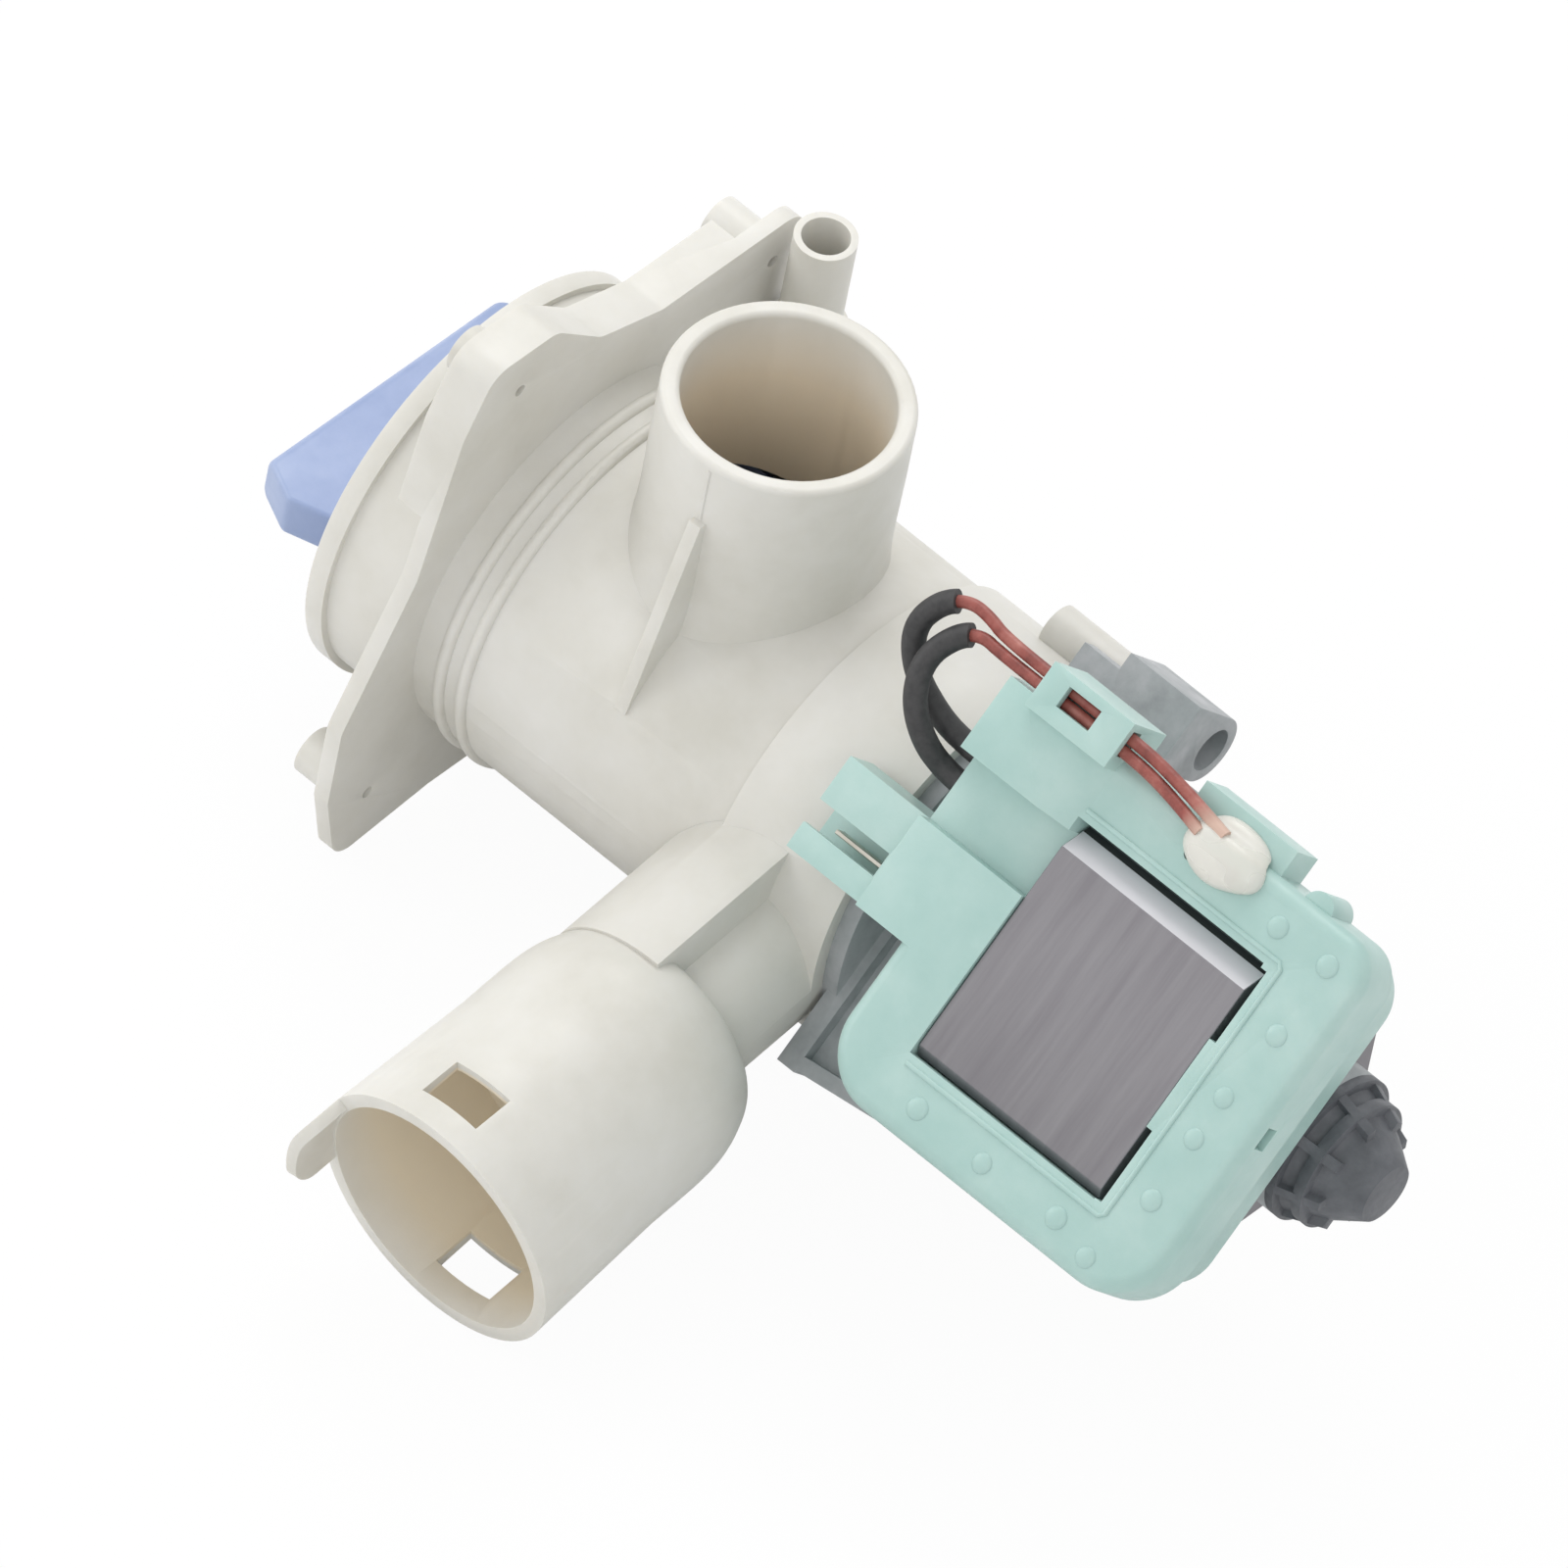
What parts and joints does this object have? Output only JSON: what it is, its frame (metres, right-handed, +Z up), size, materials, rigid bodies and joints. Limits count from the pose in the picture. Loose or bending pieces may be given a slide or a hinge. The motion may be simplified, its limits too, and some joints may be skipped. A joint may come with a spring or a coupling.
{
  "type": "washer drain pump",
  "caption": "Drain pump with a filter chamber, screw-in filter cap, upright inlet pipe, flared outlet socket and an open-coil motor.",
  "frame": {"origin": "where the axis of the inlet pipe crosses the axis of the filter chamber and rotor", "axes": "+Y along the pump axis from the filter cap to the motor, +Z up the inlet pipe's axis, +X to the outlet's side"},
  "size_m": [0.165, 0.2185, 0.1103],
  "materials": {
    "housing_plastic": "satin moulded cream polypropylene",
    "cap_plastic": "satin moulded pale blue",
    "impeller_plastic": "glass-filled moulded grey",
    "grey_plastic": "glass-filled moulded grey",
    "dark_plastic": "glass-filled moulded dark grey",
    "bobbin_plastic": "natural nylon",
    "mint_plastic": "satin moulded mint green",
    "black_rubber": "matt",
    "sleeve_black": "woven matt sleeve",
    "lead_red": "soft silicone insulation",
    "ground_steel": "ground",
    "lamination_steel": "stamped laminations, oiled",
    "ferrite": "ground ferrite",
    "bush_ceramic": "polished",
    "copper_wire": "enamelled copper wire",
    "tinned_brass": "tinned",
    "cutout_case": "moulded black",
    "seal_resin": "poured off-white resin"
  },
  "bodies": {
    "housing": {"filter_housing": "housing_plastic", "pump_volute": "housing_plastic", "motor_mount": "grey_plastic", "volute_ring": "black_rubber", "mount_screw": "ground_steel", "rear_cap": "dark_plastic", "front_bush": "bush_ceramic", "rear_bush": "bush_ceramic", "rear_bush_rubber": "black_rubber", "stator_core": "lamination_steel", "bobbin_left": "bobbin_plastic", "bobbin_right": "bobbin_plastic", "coil_left": "copper_wire", "coil_right": "copper_wire", "coil_overmould": "mint_plastic", "terminal_blades": "tinned_brass", "outer_sleeve": "sleeve_black", "outer_lead": "lead_red", "inner_sleeve": "sleeve_black", "inner_lead": "lead_red", "thermal_cutout": "cutout_case", "resin_seal": "seal_resin"},
    "rotor": {"rotor_shaft": "ground_steel", "rotor_sleeve": "impeller_plastic", "rotor_magnet": "ferrite", "drive_dog": "impeller_plastic", "thrust_washers": "bush_ceramic"},
    "impeller": {"impeller": "impeller_plastic"},
    "cap_slide": {"cap_gasket": "black_rubber"},
    "filter_insert": {"filter_cap": "cap_plastic", "filter_basket": "cap_plastic"}
  },
  "joints": [
    {"name": "rotor_spin", "type": "hinge", "parent": "housing", "child": "rotor", "pos_m": [0, 0.104, 0], "axis": [0, 1, 0], "continuous": true},
    {"name": "impeller_play", "type": "hinge", "parent": "rotor", "child": "impeller", "pos_m": [0, 0.04, 0], "axis": [0, 1, 0], "range_deg": [0, 116]},
    {"name": "filter_pull", "type": "slide", "parent": "housing", "child": "cap_slide", "axis": [0, -1, 0], "range_m": [0, 0.09]},
    {"name": "filter_turn", "type": "hinge", "parent": "cap_slide", "child": "filter_insert", "pos_m": [0, -0.05, 0], "axis": [0, -1, 0], "range_deg": [0, 360]}
  ]
}
